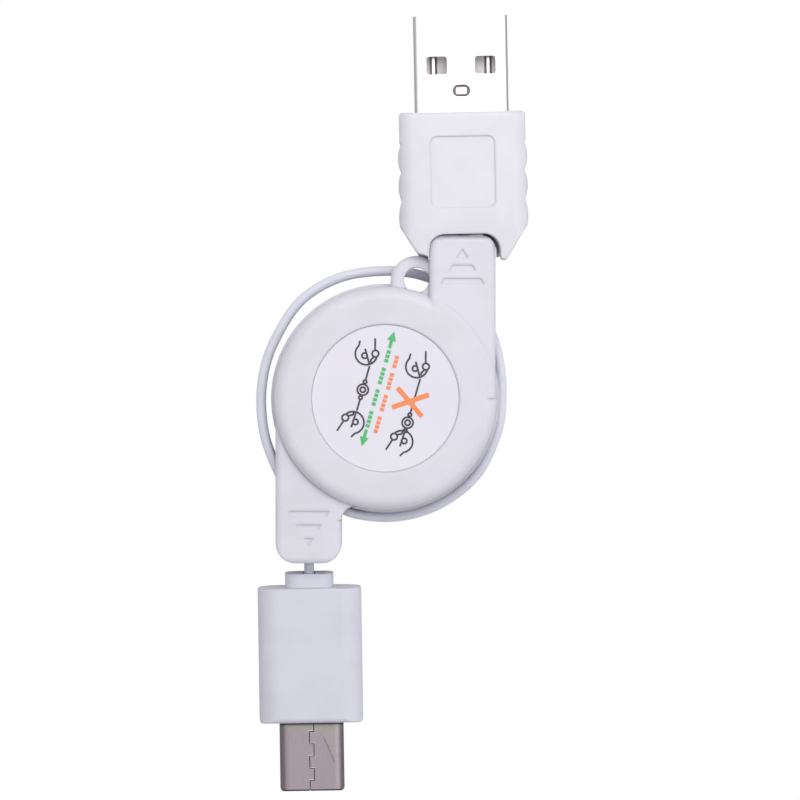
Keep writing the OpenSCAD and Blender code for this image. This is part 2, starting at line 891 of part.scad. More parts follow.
module cord_lead_c() {
    route = concat([on_plug(-arm_x, -arm_l - arm_more, -lead_c_end_v, plug_c_lean)], lead_c_route);
    before = on_plug(-arm_x, -arm_l - arm_more, -lead_c_end_v - 2, plug_c_lean);
    line = at_level(route, rear_cord_z);
    color(cord_white)
        flat_cord(line, [before[0], before[1], rear_cord_z], smooth(loop_route, 2)[1]);
}

module at_plug_a() {
    translate([plug_a_x, arm_l, front_cord_z])
        rotate([0, 0, plug_a_lean])
            children();
}

module at_plug_c() {
    translate([-arm_x, -arm_l - arm_more, rear_cord_z])
        rotate([0, 0, 180 + plug_c_lean])
            children();
}

// Angle at which a line from a point touches a circle, on its clockwise side
function touch_angle(p, c, r) = atan2(p[1] - c[1], p[0] - c[0]) - acos(r / norm(p - c));

// One of the two prongs, from the plug's middle line outwards
module prong() {
    half = plug_a_w / 2;
    shoulder = [half - shoulder_in, shoulder_v];
    tip = [fork_w / 2 + prong_tip_r, prong_tip_r - prong_l];
    from = touch_angle(shoulder, tip, prong_tip_r);
    rounding = [for (i = [0:tip_steps])
        let (a = from - (180 + from) * i / tip_steps)
        tip + prong_tip_r * [cos(a), sin(a)]];
    polygon(concat([[0, shoulder_v + 1], [half - swell, shoulder_v + 1], shoulder], rounding, [[0, tip[1]]]));
}

// Side of the large plug that swells between two grip notches
module swelling(a, b) {
    r = (pow(b - a, 2) / 4 + pow(swell, 2)) / (2 * swell);
    start = max(a, shoulder_v);
    intersection() {
        translate([plug_a_w / 2 - r, (a + b) / 2])
            circle(r = r);
        translate([0, start])
            square([plug_a_w, b - start]);
    }
}

module plug_a_plan() {
    half = plug_a_w / 2;
    difference() {
        union() {
            translate([swell - half, shoulder_v])
                square([2 * (half - swell), plug_a_l - 1 - shoulder_v]);
            rounded_rect([swell / 2 - half, grip_v[3]], [half - swell / 2, plug_a_l], plug_a_corner);
            for (s = [0, 1])
                mirror([s, 0]) {
                    prong();
                    for (i = [1:len(grip_v) - 1])
                        swelling(grip_v[i - 1], grip_v[i]);
                }
        }
        // fork that takes the arm's end
        rounded_rect([-fork_w / 2, -prong_l - fork_corner - 1], [fork_w / 2, fork_end_gap], fork_corner);
    }
}

// Side view: level faces that bend softly down to the prongs
module plug_a_side() {
    half = plug_a_t / 2;
    slope = atan2(half - prong_end_t / 2, crease_v + prong_l);
    start = crease_v + crease_round * tan(slope / 2);
    bend = [for (i = [0:crease_steps])
        let (a = slope * i / crease_steps)
        [start, half - crease_round] + crease_round * [-sin(a), cos(a)]];
    upper = concat([[plug_a_l - 1, half]], bend, [[-prong_l, prong_end_t / 2]]);
    rounded_rect([start, -half], [plug_a_l, half], plug_a_corner);
    polygon(concat(upper, [for (i = [len(upper) - 1:-1:0]) [upper[i][0], -upper[i][1]]]));
}

module plug_a_overmould() {
    color(case_white)
        difference() {
            at_plug_a()
                difference() {
                    intersection() {
                        slab(-plug_a_t, plug_a_t)
                            plug_a_plan();
                        bar_v(-prong_l - eps, plug_a_l + eps)
                            centred_rect([plug_a_w, plug_a_t], plug_a_round);
                        bar_u(plug_a_w)
                            plug_a_side();
                    }
                    // bare panel on the face
                    translate([0, panel_v, 0])
                        slab(plug_a_t / 2 - panel_depth, plug_a_t)
                            centred_rect(panel, panel_corner);
                    // seats of the shell, the inner mould, the core wires and the cord
                    bar_v(plug_a_pocket_v, plug_a_l + eps)
                        centred_rect([plug_a_shell_w, plug_a_shell_h] + 2 * seat_gap * [1, 1],
                            plug_a_shell_round);
                    bar_v(-eps, plug_a_pocket_v + eps)
                        square([slot_w - 0.1, slot_h], center = true);
                }
            // room for the keyring lug over the inner prong
            translate([lug_pos[0], lug_pos[1], lug_z - lug_clearance])
                cylinder(r = lug_r + lug_clearance, h = case_h);
        }
}

module plug_a_shell() {
    v0 = plug_a_l - plug_a_shell_tail;
    v1 = plug_a_l + plug_a_shell_l;
    color(steel)
        at_plug_a()
            difference() {
                bar_v(v0, v1)
                    centred_rect([plug_a_shell_w, plug_a_shell_h], plug_a_shell_round);
                bar_v(v0 - eps, v1 + eps)
                    centred_rect(plug_a_inside, plug_a_shell_round - plug_a_sheet);
                for (s = [-1, 1])
                    translate([s * window_u, window_v, 0])
                        slab(-plug_a_shell_h, plug_a_shell_h)
                            centred_rect(window, window_corner);
                translate([0, oval_v, 0])
                    slab(0, plug_a_shell_h)
                        centred_rect(oval, oval[1] / 2 - sliver);
            }
}

// Front end of a contact: the two outer ones reach further
function contact_end(u) = plug_a_l + plug_a_shell_l - contact_back[abs(u) == contact_u[3] ? 0 : 1];

// Lower half of the shell's inside as a tongue, on a base that fills the shell behind the windows
module plug_a_tongue() {
    tail = plug_a_l - plug_a_shell_tail;
    wide = plug_a_inside[0] - 2 * tongue_side_gap;
    color(inner_white)
        at_plug_a()
            difference() {
                union() {
                    translate([0, 0, -plug_a_inside[1] / 2])
                        bar_v(tail, plug_a_l + plug_a_shell_l - tongue_back)
                            translate([-wide / 2, 0])
                                square([wide, plug_a_inside[1] / 2 - tongue_gap]);
                    bar_v(tail, tongue_base_v)
                        centred_rect(plug_a_inside - 2 * tongue_gap * [1, 1], tongue_corner);
                    // boss that locks the tongue in the shell's oval hole
                    translate([0, oval_v, 0])
                        slab(0, plug_a_shell_h / 2 - tongue_gap)
                            centred_rect(boss, boss_corner);
                }
                contacts();
                // open grooves round the contacts
                for (u = contact_u)
                    translate([u - groove_w / 2, tongue_base_v, contact_z])
                        cube([groove_w, contact_end(u) - tongue_base_v, 1]);
            }
}

module contacts() {
    tail = plug_a_l - plug_a_shell_tail;
    for (u = contact_u)
        translate([u - contact_w / 2, tail, contact_z])
            cube([contact_w, contact_end(u) - tail, contact_t]);
}

module plug_a_contacts() {
    color(steel)
        at_plug_a()
            contacts();
}

module plug_a_inner_mould() {
    color(inner_white)
        at_plug_a()
            bar_v(plug_a_pocket_v, plug_a_l - plug_a_shell_tail)
                centred_rect([plug_a_shell_w, plug_a_shell_h], plug_a_shell_round);
}

// Four core wires between the cord's end and what they are soldered to
module core_wires(v0, v1, places) {
    color(gold)
        for (p = places)
            translate([p[0], v0, p[1]])
                rotate([-90, 0, 0])
                    cylinder(r = wire_r, h = v1 - v0, $fn = 16);
}

module plug_a_wires() {
    at_plug_a()
        core_wires(lead_a_end_v, plug_a_pocket_v, [for (k = [-1.5:1:1.5]) [0, wire_pitch * k]]);
}

// Slope of a moulded tail end, whose upper edge lies further forward
function slant(v, w, t) = v + (w + t / 2) * tan(tail_angle);

// Side view of what lies in front of a slanted tail end
module slanted_end(v, t) {
    polygon([[slant(v, -t / 2, t), -t / 2], [slant(v, t / 2, t), t / 2], [v + plug_c_l, t / 2],
        [v + plug_c_l, -t / 2]]);
}

// Side view of what lies behind a slanted tail end
module tail_side(v, t, from) {
    polygon([[slant(v, -t / 2, t), -t / 2], [slant(v, t / 2, t), t / 2], [from - 1, t / 2],
        [from - 1, -t / 2]]);
}

// Section of the collar's tail inside the overmould
module collar_tail_section() {
    centred_rect([collar_w, collar_t] - collar_tail_in, collar_tail_round);
}

module plug_c_collar() {
    color(case_white)
        at_plug_c()
            difference() {
                union() {
                    intersection() {
                        bar_v(collar_v, plug_c_v + 1)
                            centred_rect([collar_w, collar_t], collar_round);
                        slab(-collar_t, collar_t)
                            rounded_rect([-collar_w / 2, collar_v], [collar_w / 2, plug_c_v + 2],
                                collar_corner);
                        bar_u(collar_w)
                            slanted_end(collar_v, collar_t);
                        bar_u(collar_w)
                            tail_side(plug_c_v, plug_c_t, collar_v);
                    }
                    bar_v(plug_c_v, plug_c_v + collar_tail)
                        collar_tail_section();
                }
                bar_v(collar_v - eps, plug_c_v + collar_tail + eps)
                    square([slot_w - 0.1, slot_h], center = true);
            }
}

module plug_c_overmould() {
    half = [plug_c_w, plug_c_t] / 2;
    color(case_white)
        at_plug_c()
            difference() {
                intersection() {
                    slab(-plug_c_t, plug_c_t)
                        rounded_rect([-half[0], plug_c_v], [half[0], plug_c_end_v], plug_c_corner);
                    bar_v(plug_c_v - eps, plug_c_end_v + eps)
                        centred_rect([plug_c_w, plug_c_t], plug_c_round);
                    bar_u(plug_c_w)
                        rounded_rect([plug_c_v - 1, -half[1]], [plug_c_end_v, half[1]], plug_c_end_round);
                    bar_u(plug_c_w)
                        slanted_end(plug_c_v, plug_c_t);
                }
                // seats of the collar, the core wires, the board and the shell
                bar_v(plug_c_v - eps, plug_c_v + collar_tail)
                    collar_tail_section();
                bar_v(plug_c_v, board_v + eps)
                    square([slot_w - 0.1, slot_h], center = true);
                bar_v(board_v, plug_c_end_v - plug_c_shell_tail)
                    square([board[0], board_room], center = true);
                bar_v(plug_c_end_v - plug_c_shell_tail, plug_c_end_v + eps)
                    centred_rect([plug_c_shell_w, plug_c_shell_h], plug_c_shell_h / 2 - sliver);
            }
}

// Dovetailed seam along the middle of the shell's upper wall: a line that steps from side to side
module seam() {
    tail = plug_c_end_v - plug_c_shell_tail - eps;
    ends = concat([plug_c_tip_v + eps], [for (i = [0:seam_steps - 1]) seam_start_v - i * seam_pitch], [tail]);
    for (i = [0:seam_steps]) {
        side = (i % 2 == 0 ? 1 : -1) * seam_step / 2;
        translate([side - seam_w / 2, ends[i + 1]])
            square([seam_w, ends[i] - ends[i + 1]]);
    }
    for (i = [1:seam_steps])
        translate([-seam_step / 2 - seam_w / 2, ends[i]])
            square([seam_step + seam_w, seam_w]);
}

module plug_c_shell() {
    size = [plug_c_shell_w, plug_c_shell_h];
    inside = size - 2 * plug_c_sheet * [1, 1];
    v0 = plug_c_end_v - plug_c_shell_tail;
    color(steel)
        at_plug_c()
            difference() {
                intersection() {
                    bar_v(v0, plug_c_tip_v)
                        centred_rect(size, size[1] / 2 - sliver);
                    slab(-size[1], size[1])
                        rounded_rect([-size[0] / 2, v0 - 2], [size[0] / 2, plug_c_tip_v], plug_c_shell_corner);
                }
                bar_v(v0 - eps, plug_c_tip_v + eps)
                    centred_rect(inside, inside[1] / 2 - sliver);
                slab(0, size[1])
                    seam();
            }
}

// One row of pins, let a little into the mouth's upper or lower wall
module pins_cut(top) {
    level = top ? mouth[1] / 2 - pin_sunk : -mouth[1] / 2 + pin_sunk - pin_t;
    for (i = [0:pin_count - 1])
        translate([(i - (pin_count - 1) / 2) * pin_pitch - pin_w / 2, pin_v, level])
            cube([pin_w, plug_c_tip_v - pin_back - pin_v, pin_t]);
}

module plug_c_insulator() {
    inside = [plug_c_shell_w, plug_c_shell_h] - 2 * plug_c_sheet * [1, 1];
    tip = plug_c_tip_v - insulator_back;
    color(print_dark)
        at_plug_c()
            difference() {
                bar_v(insulator_v, tip)
                    centred_rect(inside, inside[1] / 2 - sliver);
                // mouth for the socket's tongue, grooves of the contacts and slit of the latch plate
                bar_v(mouth_v, tip + eps)
                    square(mouth, center = true);
                pins_cut(true);
                pins_cut(false);
                latch_outline();
            }
}

module plug_c_contacts_top() {
    color(gold)
        at_plug_c()
            pins_cut(true);
}

module plug_c_contacts_bottom() {
    color(gold)
        at_plug_c()
            pins_cut(false);
}

// Plate in the middle of the plug, whose two arms latch beside the mouth
module latch_outline() {
    slab(-plate_t / 2, plate_t / 2) {
        translate([-(mouth[0] + latch_w) / 2, insulator_v])
            square([mouth[0] + latch_w, mouth_v - insulator_v]);
        for (s = [-1, 1])
            translate([s * mouth[0] / 2 - latch_w / 2, mouth_v - latch_lap])
                square([latch_w, plug_c_tip_v - latch_back - mouth_v]);
    }
}

module plug_c_latch_plate() {
    color(steel)
        at_plug_c()
            latch_outline();
}

module plug_c_board() {
    color([0.15, 0.35, 0.25])
        at_plug_c()
            translate([-board[0] / 2, board_v, -board[2] / 2])
                cube(board);
}

module plug_c_resistor() {
    color(print_dark)
        at_plug_c()
            translate([resistor_u, resistor_v, board[2] / 2])
                cube(resistor);
}

module plug_c_wires() {
    at_plug_c()
        core_wires(lead_c_end_v, board_v + board_wire_lap, [for (u = [-0.3, 0.3], w = [-0.6, 0.6]) [u, w]]);
}

front_cover();
rear_cover();
centre_screw();
front_label();
label_print_green();
label_print_orange();
label_print_dark();
mainspring();
spool();
spring_cap();
ratchet_ball();
cord_coil_front();
cord_coil_rear();
cord_loop();
cord_lead_a();
cord_lead_c();
plug_a_overmould();
plug_a_shell();
plug_a_tongue();
plug_a_contacts();
plug_a_inner_mould();
plug_a_wires();
plug_c_collar();
plug_c_overmould();
plug_c_shell();
plug_c_insulator();
plug_c_contacts_top();
plug_c_contacts_bottom();
plug_c_latch_plate();
plug_c_board();
plug_c_resistor();
plug_c_wires();
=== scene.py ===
"""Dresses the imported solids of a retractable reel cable, and sets up its studio and camera."""
import math

import bpy
from bpy.props import FloatProperty, FloatVectorProperty, IntProperty, PointerProperty
from mathutils import Matrix, Vector


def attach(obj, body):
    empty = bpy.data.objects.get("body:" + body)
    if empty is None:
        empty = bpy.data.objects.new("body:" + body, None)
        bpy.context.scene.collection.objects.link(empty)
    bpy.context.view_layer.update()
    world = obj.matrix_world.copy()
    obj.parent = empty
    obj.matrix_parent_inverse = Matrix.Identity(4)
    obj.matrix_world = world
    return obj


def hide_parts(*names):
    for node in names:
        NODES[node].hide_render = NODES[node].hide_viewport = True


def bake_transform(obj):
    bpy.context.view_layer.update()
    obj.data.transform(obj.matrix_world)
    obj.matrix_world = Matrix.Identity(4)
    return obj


bl_info = {
    "name": "Retractable reel cable",
    "version": (1, 0, 0),
    "blender": (4, 5, 0),
    "location": "View3D > Sidebar > Reel Cable",
    "description": "Dresses the solids of a retractable charging cable and sets up its studio",
    "category": "Object",
}

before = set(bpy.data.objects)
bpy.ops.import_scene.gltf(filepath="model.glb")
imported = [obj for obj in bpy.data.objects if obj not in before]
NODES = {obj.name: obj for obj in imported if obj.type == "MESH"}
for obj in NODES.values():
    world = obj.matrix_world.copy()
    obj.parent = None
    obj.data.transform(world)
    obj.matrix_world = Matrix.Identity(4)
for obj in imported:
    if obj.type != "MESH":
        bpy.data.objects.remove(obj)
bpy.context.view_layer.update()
MM = 0.001


def srgb(red, green, blue):
    """A colour as a screen shows it, 0 to 255, as the linear values that Blender's sockets take."""
    def linear(value):
        value /= 255
        return value / 12.92 if value <= 0.04045 else ((value + 0.055) / 1.055) ** 2.4

    return linear(red), linear(green), linear(blue)


# Routes of the cord, as in the solids, in millimetres. The slack turn runs from the reel to the small plug.
SLACK_ROUTE = [
    (-11.45, -6.9, 3), (-10.7, -8.8, 3), (-9.3, -11, 3), (-7.3, -13, 3), (-4.9, -14.5, 2.9),
    (-2.5, -15.07, 2.7), (0.4, -15.27, 2.3), (3.6, -14.84, 1.9), (6.8, -13.67, 1.6), (9.7, -11.8, 1.55),
    (12.03, -9.42, 1.55), (13.46, -6.73, 1.55), (14.63, -3.4, 1.55), (14.95, 0.4, 1.55), (14.72, 4, 1.55),
    (13.8, 7.9, 1.55), (11.9, 10.9, 1.55), (9, 13.5, 1.55), (5.6, 15.5, 1.55), (2, 16.3, 1.55),
    (-1.7, 16.3, 1.55), (-5.3, 15.7, 1.55), (-8.7, 14.2, 1.55), (-11.5, 11.9, 1.55), (-13.7, 8.5, 1.55),
    (-15.2, 5.1, 1.6), (-15.89, 1.6, 1.8), (-15.94, -1.6, 2.2), (-15.5, -4.8, 2.7), (-14.6, -7.5, 3),
    (-13.5, -10, 3), (-12.4, -12.2, 3), (-11.2, -14.5, 3), (-10.5, -16.4, 3), (-10.1, -18, 3),
    (-9.85, -19.5, 3), (-9.83, -21.1, 3), (-9.7559, -25.4995, 3),
]
LARGE_LEAD_ROUTE = [
    (12.3, 4.6, 6.8), (11.9, 7, 6.8), (11.3, 10, 6.8), (10.6, 13.5, 6.8), (10.1, 17, 6.8),
    (10.05, 19.5, 6.8), (10.05, 20.9, 6.8), (9.9874, 23.7994, 6.8),
]
# Inner radius of a wound layer, and the distance between two of its turns
HUB_RADIUS = 6.6 * MM
TURN_PITCH = 1.15 * MM

# The parked plugs: how far each leans, and where the arm's end lies on its axis
LARGE_LEAN = math.radians(1.1)
LARGE_PLUG = (10.045 * MM, 20.8 * MM, 6.8 * MM)
TO_LARGE_PLUG = Matrix.Rotation(-LARGE_LEAN, 4, "Z") @ Matrix.Translation(-Vector(LARGE_PLUG))
SMALL_LEAN = math.radians(0.9)
SMALL_PLUG = (-9.825 * MM, -21.1 * MM, 3 * MM)

# Outer wall inside the large plug's fork, in millimetres on the plug's axes: its reach across and along, the
# level between its two edges, and how far its lining leans in at the lower edge
FORK_ACROSS = (2.45, 4.6)
FORK_ALONG = (-2.71, 0.16)
FORK_LEVEL = -2
FORK_LEAN = (-0.45, -0.12, 0)

# The small shell, in millimetres along its plug: where it leaves the overmould, then from there its first
# jog, the distance between two jogs, how many there are and how far they reach to each side
SMALL_SHELL_START = 20.5
SEAM_START = 7.37
SEAM_PITCH = 1.57
SEAM_JOGS = 5
SEAM_HALF = 0.36

# Wear on it and a painted shadow at the overmould, in the same millimetres: the slanted mark's first point
# across and along, its slope and its end, the left edge and the end of the patch rubbed beside it, and where
# the stain, the painted shadow and the dark line at the tip fade
MARK_FROM = (-1.56, 2.0)
MARK_SLOPE = 0.42
MARK_END = 5.1
RUBBED_LEFT = -3.1
RUBBED_END = 4.4
STAIN_FADE = (0.9, -0.5)
OVERMOULD_SHADOW = (0.45, 0.1)
DARK_TIP = (8.5, 8.64)

# Studio: the middle of the picture, the height at which its width is measured, and the floor. The floor's
# middle lies far off, so that the line between its two triangles doesn't cross the picture.
IMAGE_CENTRE = (1.86 * MM, -0.22 * MM)
IMAGE_HEIGHT = 6 * MM
SENSOR_WIDTH = 36
FLOOR_CENTRE = (4, -3, -0.01 * MM)
FLOOR_SIZE = 30


# Sizes and colours that a user would change


def length(name, description, default, low, high):
    return FloatProperty(name=name, description=description, default=default, min=low, max=high,
                         unit="LENGTH", subtype="DISTANCE", precision=5)


def share(name, description, default):
    return FloatProperty(name=name, description=description, default=default, min=0, max=1, subtype="FACTOR")


def colour(name, description, default):
    return FloatVectorProperty(name=name, description=description, default=default, min=0, max=1,
                               size=3, subtype="COLOR")


class ReelCableSizes(bpy.types.PropertyGroup):
    """Sizes of what is made here"""

    cord_width: length(
        "Cord width", "Width of the flat cord, which stands on its edge", 3.0 * MM, 1 * MM, 5 * MM)
    cord_thickness: length("Cord thickness", "Thickness of the flat cord", 1.24 * MM, 0.6 * MM, 2 * MM)
    edge_softness: length(
        "Edge softness", "Radius that the shading gives to sharp moulded edges", 0.14 * MM, 0, 1 * MM)
    grain_size: length("Grain size", "Size of the grain on moulded plastic", 0.16 * MM, 0.02 * MM, 2 * MM)
    view_width: length("View width", "Width of what the camera takes in", 102.4 * MM, 20 * MM, 400 * MM)


class ReelCableColours(bpy.types.PropertyGroup):
    """Colours and gloss of the finishes"""

    case: colour("Reel case", "Plastic of the two covers", srgb(222, 221, 230))
    large_plug: colour("Large plug", "Plastic of the large plug", srgb(226, 225, 232))
    # The small plug's plastic is its own tone, darkened a little as painted shade because it lies lower than
    # the arm
    small_plug: colour("Small plug", "Plastic of the small plug", srgb(216, 216, 227))
    cord: colour("Cord", "Jacket of the cord", srgb(226, 227, 238))
    spool: colour("Spool", "Plastic of the spool", srgb(232, 231, 228))
    label: colour("Label", "Film of the label", srgb(229, 228, 235))
    green: colour("Green ink", "Ink of the way to pull", srgb(78, 186, 108))
    orange: colour("Orange ink", "Ink of the way not to pull", srgb(250, 140, 84))
    dark: colour("Dark ink", "Ink of the pictograms", srgb(48, 43, 56))
    bright_steel: colour("Bright steel", "Plating of the large shell", (0.93, 0.92, 0.925))
    grey_steel: colour("Grey steel", "Plating of the small shell", srgb(160, 149, 157))
    gold: colour("Pins", "Plating of the small plug's pins", (0.83, 0.61, 0.27))
    plastic_roughness: share("Plastic roughness", "How matt the moulded plastic is", 0.42)


# Shader trees


class Wire:
    """A number that varies over a surface. Python's operators on it add Math nodes."""

    def __init__(self, finish, socket):
        self.finish = finish
        self.socket = socket

    def maths(self, operation, first, second):
        return self.finish.node("ShaderNodeMath", {"operation": operation}, {0: first, 1: second})

    def __add__(self, other):
        return self.maths("ADD", self, other)

    __radd__ = __add__

    def __sub__(self, other):
        return self.maths("SUBTRACT", self, other)

    def __rsub__(self, other):
        return self.maths("SUBTRACT", other, self)

    def __mul__(self, other):
        return self.maths("MULTIPLY", self, other)

    __rmul__ = __mul__

    def __truediv__(self, other):
        return self.maths("DIVIDE", self, other)

    def __gt__(self, other):
        return self.maths("GREATER_THAN", self, other)

    def __lt__(self, other):
        return self.maths("LESS_THAN", self, other)

    def __mod__(self, other):
        return self.maths("FLOORED_MODULO", self, other)

    def absolute(self):
        return self.maths("ABSOLUTE", self, 0)

    def root(self):
        return self.maths("SQRT", self, 0)


class Finish:
    """A node tree under construction, for a material or the world."""

    def __init__(self, owner):
        owner.use_nodes = True
        self.owner = owner
        self.tree = owner.node_tree
        self.tree.nodes.clear()

    def node(self, kind, settings=None, sockets=None, output=0):
        """Adds any node: its settings first, then the values or links of its sockets."""
        made = self.tree.nodes.new(kind)
        for name, value in (settings or {}).items():
            setattr(made, name, value)
        for name, value in (sockets or {}).items():
            if isinstance(value, Wire):
                self.tree.links.new(value.socket, made.inputs[name])
            elif isinstance(value, tuple) and len(value) == 3 and made.inputs[name].type == "RGBA":
                made.inputs[name].default_value = (*value, 1)
            else:
                made.inputs[name].default_value = value
        return Wire(self, made.outputs[output]) if len(made.outputs) else made

    def place(self, size=(1, 1, 1), turn=0.0, centre=(0, 0, 0)):
        """Object coordinates about a centre, turned about Z, in units of the given sizes."""
        where = self.node("ShaderNodeTexCoord", output=3)
        return self.node("ShaderNodeMapping", {"vector_type": "TEXTURE"},
                         {"Vector": where, "Location": centre, "Rotation": (0, 0, turn), "Scale": size})

    def split(self, vector):
        """The three parts of a vector."""
        apart = self.node("ShaderNodeSeparateXYZ", None, {"Vector": vector}).socket.node
        return [Wire(self, part) for part in apart.outputs]

    def noise(self, where, scale=1.0, detail=2.0, roughness=0.5):
        return self.node("ShaderNodeTexNoise", None,
                         {"Vector": where, "Scale": scale, "Detail": detail, "Roughness": roughness})

    def blend(self, factor, first, second):
        """A colour between two, each a colour or a link."""
        return self.node("ShaderNodeMix", {"data_type": "RGBA"}, {0: factor, 6: first, 7: second}, output=2)

    def ramp(self, value, low, high):
        """0 below low and 1 above high, with a soft step between."""
        return self.node("ShaderNodeMapRange", {"interpolation_type": "SMOOTHSTEP"},
                         {"Value": value, "From Min": low, "From Max": high})

    def openness(self, reach, samples):
        """1 where nothing stands within reach, towards 0 in a crevice."""
        return self.node("ShaderNodeAmbientOcclusion", {"samples": samples}, {"Distance": reach}, output=1)

    def soft_edges(self, radius):
        """Normals that round the edges by shading alone."""
        return self.node("ShaderNodeBevel", {"samples": 6}, {"Radius": radius})

    def bump(self, height, strength=0.2, distance=0.01 * MM, **normal):
        """Normals of a fine relief, on top of other normals where Normal gives them."""
        return self.node("ShaderNodeBump", None,
                         {"Strength": strength, "Distance": distance, "Height": height, **normal})

    def by_ray(self, seen, thrown, mirrored):
        """Three shaders in one: for the camera, for the light thrown on the part, and for its gloss."""
        path = self.node("ShaderNodeLightPath").socket.node.outputs
        camera = Wire(self, path["Is Camera Ray"])
        to_eye = camera.maths("MAXIMUM", camera, Wire(self, path["Is Transmission Ray"]))
        glossy = Wire(self, path["Is Glossy Ray"])
        unseen = self.node("ShaderNodeMixShader", None, {0: glossy, 1: thrown, 2: mirrored})
        return self.node("ShaderNodeMixShader", None, {0: to_eye, 1: unseen, 2: seen})

    def surface(self, sockets):
        """Ends a material with its one shader, and gives the material."""
        shader = self.node("ShaderNodeBsdfPrincipled", None, sockets)
        self.node("ShaderNodeOutputMaterial", None, {"Surface": shader})
        return self.owner


def new_finish(name):
    """The empty tree of a new material."""
    return Finish(bpy.data.materials.new(name))


def scaled(tone, factor):
    return tuple(min(1.0, part * factor) for part in tone)


def moulded(name, tone, roughness, sizes, softness=1.0, crevice=None):
    """Moulded plastic: a fine grain, faint flow marks, softly lit edges, and, if given, painted shade in its
    crevices.
    """
    finish = new_finish(name)
    everywhere = finish.place()
    flow = finish.noise(everywhere, 1 / (7 * MM), 3, 0.6)
    grain = finish.noise(everywhere, 1 / sizes.grain_size, 2, 0.6)
    handling = finish.noise(finish.place((3 * MM, 1.2 * MM, 2 * MM), 0.4), 1, 4, 0.65)
    base = finish.blend(finish.ramp(flow, 0.35, 0.7), tone, scaled(tone, 0.95))
    if crevice:
        # Painted shade: the crevice colour fills where other surfaces stand within reach
        base = finish.blend(finish.ramp(finish.openness(1.2 * MM, 16), 0.35, 0.75), crevice, base)
    return finish.surface({
        "Base Color": base,
        "Roughness": roughness + 0.14 * (handling - 0.5),
        "Specular IOR Level": 0.5,
        "IOR": 1.46,
        "Normal": finish.bump(grain, 0.25, Normal=finish.soft_edges(softness * sizes.edge_softness)),
    })


def plated(name, tone, roughness, turn=0.0):
    """Plated sheet steel, drawn along the plug, with fine rubbed lines in patches."""
    finish = new_finish(name)
    drawn = finish.noise(finish.place((0.05 * MM, 1.6 * MM, 0.05 * MM), turn), 1, 3, 0.6)
    lines = finish.noise(finish.place((0.9 * MM, 0.04 * MM, 0.9 * MM), turn + 0.5), 1, 2, 0.5)
    patches = finish.noise(finish.place(), 1 / (2.4 * MM), 3, 0.7)
    worn = finish.ramp(patches, 0.5, 0.72) * finish.ramp(lines, 0.62, 0.7)
    return finish.surface({
        "Base Color": finish.blend(0.2 * drawn, tone, scaled(tone, 0.9)),
        "Metallic": 1.0,
        "Roughness": roughness + 0.1 * (drawn - 0.5) + 0.2 * worn,
        "Normal": finish.bump(drawn, distance=0.002 * MM, Normal=finish.soft_edges(0.08 * MM)),
    })


def worn_steel(name, tone, jog_highlight_tone):
    """Sheet of the small shell, drawn along the plug, with the wear of use, painted highlights on the jogs
    along its seam, a painted shadow where it meets the overmould, and a dark line at its tip.

    Places on it are in millimetres: across from the plug's middle line, along from the overmould.
    """
    finish = new_finish(name)
    turn = math.pi + SMALL_LEAN
    across, from_arm, up = finish.split(finish.place((MM, MM, MM), turn, SMALL_PLUG))
    along = from_arm - SMALL_SHELL_START
    top = finish.ramp(up, 0.9, 1.1)
    drawn = finish.noise(finish.place((0.06 * MM, 2.5 * MM, 0.06 * MM), turn), 1, 3, 0.6)
    cloud = finish.noise(finish.place(), 1 / (1.6 * MM), 4, 0.65)
    scratch = finish.noise(finish.place((0.7 * MM, 0.1 * MM, 0.7 * MM), turn + 1.0), 1, 3, 0.6)
    jog_number = (SEAM_START - along) / SEAM_PITCH
    from_jog = ((jog_number + 0.5) % 1.0 - 0.5).absolute()
    in_seam = (across.absolute() < SEAM_HALF) * (jog_number > -0.5) * (jog_number < SEAM_JOGS - 0.5)
    # Painted highlights: pale bands on the top face at the seam's jogs
    jogs = finish.ramp(from_jog, 0.045, 0.02) * in_seam * top
    left_side = finish.ramp(-1 * across, 0.6, 1.4)
    scuffed = finish.ramp(cloud, 0.42, 0.7) * finish.ramp(scratch, 0.5, 0.62) * left_side
    stained = finish.ramp(along - 1.6 * cloud - 0.5 * scratch, *STAIN_FADE)
    along_mark = along - MARK_FROM[1]
    beside_mark = across - MARK_FROM[0] + MARK_SLOPE * along_mark
    on_mark = finish.ramp((beside_mark + 0.3 * (cloud - 0.5)).absolute(), 0.14, 0.03)
    marked = on_mark * finish.ramp(along_mark, -0.3, 0.2) * (along < MARK_END) * top
    rubbed = (beside_mark < 0) * (across > RUBBED_LEFT) * (along < RUBBED_END) * top
    # Painted shadow along the overmould's edge, and a dark line at the tip's end
    overmould_shadow_and_tip_line = finish.ramp(along, *OVERMOULD_SHADOW) + finish.ramp(along, *DARK_TIP)
    base = finish.blend(finish.ramp(drawn, 0.3, 0.75), tone, scaled(tone, 0.9))
    for factor, over in (
        (0.25 * rubbed, srgb(166, 163, 155)),
        (0.75 * stained, srgb(158, 155, 146)),
        (0.6 * scuffed, srgb(126, 120, 120)),
        (0.55 * marked, srgb(96, 90, 92)),
        (0.95 * overmould_shadow_and_tip_line, srgb(40, 36, 46)),
        (jogs, jog_highlight_tone),
    ):
        base = finish.blend(factor, base, over)
    return finish.surface({
        "Base Color": base,
        "Metallic": 1.0,
        "Roughness": 0.3 + 0.1 * cloud + 0.1 * scuffed,
        "Normal": finish.bump(drawn, distance=0.002 * MM, Normal=finish.soft_edges(0.06 * MM)),
    })


def printed(name, tone):
    """Screen-printed ink: faint pinholes and a slightly uneven film."""
    finish = new_finish(name)
    film = finish.noise(finish.place(), 1 / (0.25 * MM), 3, 0.6)
    thin = tuple(0.85 * part + 0.1 for part in tone)
    return finish.surface({
        "Base Color": finish.blend(finish.ramp(film, 0.5, 0.75), tone, thin),
        "Roughness": 0.45 + 0.1 * film,
    })


